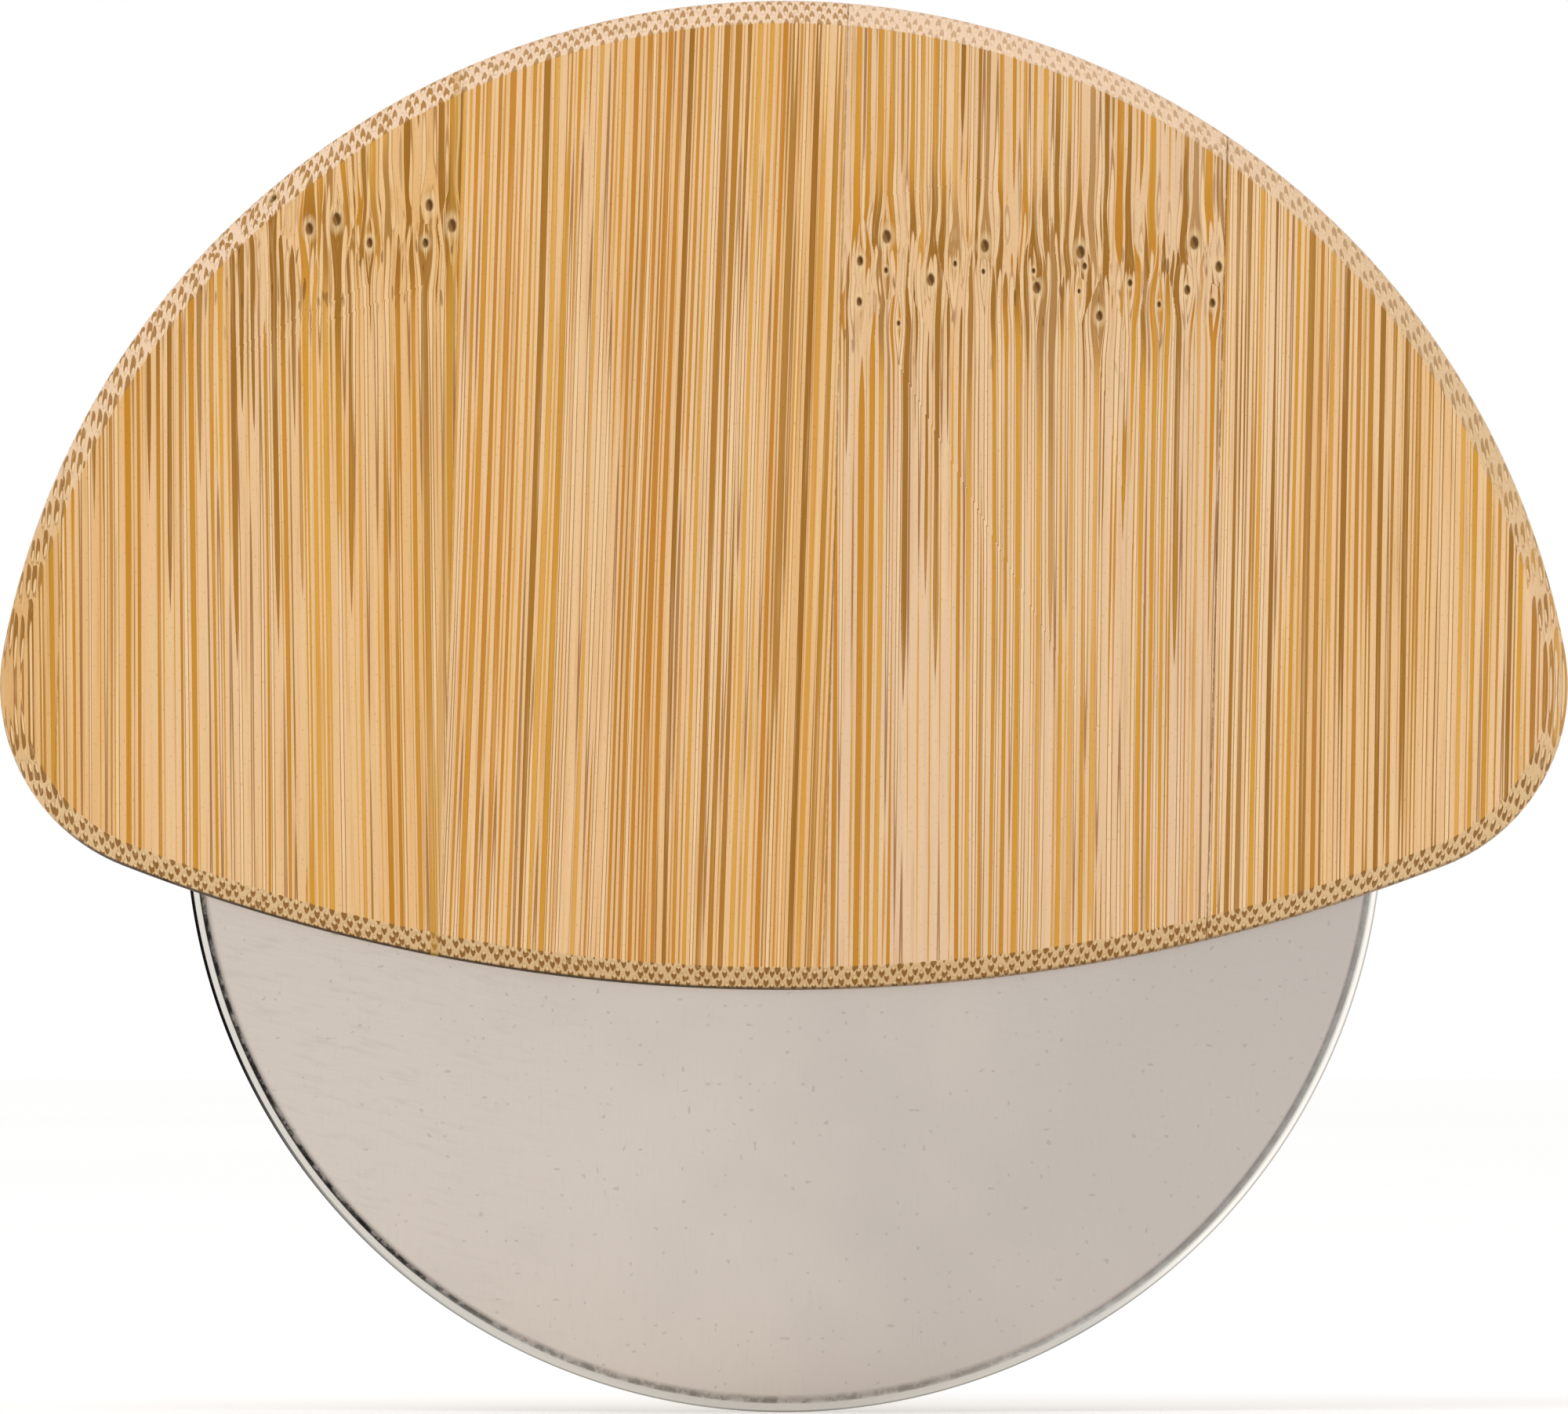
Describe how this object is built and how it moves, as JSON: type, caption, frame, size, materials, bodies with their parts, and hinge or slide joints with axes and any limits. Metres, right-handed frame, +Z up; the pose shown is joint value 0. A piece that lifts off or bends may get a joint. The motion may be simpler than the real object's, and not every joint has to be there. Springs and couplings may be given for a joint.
{
  "type": "pizza cutter wheel",
  "caption": "Palm-held pizza cutter: a round steel blade that turns inside a lens-shaped, edge-rounded bamboo handle.",
  "frame": {"origin": "bottom centre of the upright cutter: the blade's lowest point, midway through the handle's thickness", "axes": "+Z up from the cutting edge to the top of the handle, +X along the handle's width, +Y from the front cheek to the back cheek; the blade turns about Y"},
  "size_m": [0.1, 0.015, 0.0901],
  "materials": {
    "bamboo_cheek": "fine sanded, thin oil, satin",
    "bamboo_core": "fine sanded, thin oil, satin",
    "blade_steel": "satin, with a polished ground bevel",
    "pin_steel": "turned and polished",
    "nylon": "natural moulded nylon"
  },
  "bodies": {
    "handle": {"front_strip_1": "bamboo_cheek", "front_strip_2": "bamboo_cheek", "front_strip_3": "bamboo_cheek", "front_strip_4": "bamboo_cheek", "front_strip_5": "bamboo_cheek", "core_left_leg": "bamboo_core", "core_left_shoulder": "bamboo_core", "core_crown": "bamboo_core", "core_right_shoulder": "bamboo_core", "core_right_leg": "bamboo_core", "back_strip_1": "bamboo_cheek", "back_strip_2": "bamboo_cheek", "back_strip_3": "bamboo_cheek", "back_strip_4": "bamboo_cheek", "back_strip_5": "bamboo_cheek", "axle_pin": "pin_steel", "front_washer": "nylon", "back_washer": "nylon"},
    "wheel": {"blade": "blade_steel", "blade_bush": "nylon"}
  },
  "joints": [
    {"name": "blade_spin", "type": "hinge", "parent": "handle", "child": "wheel", "pos_m": [0, 0, 0.03825], "axis": [0, 1, 0], "continuous": true}
  ]
}
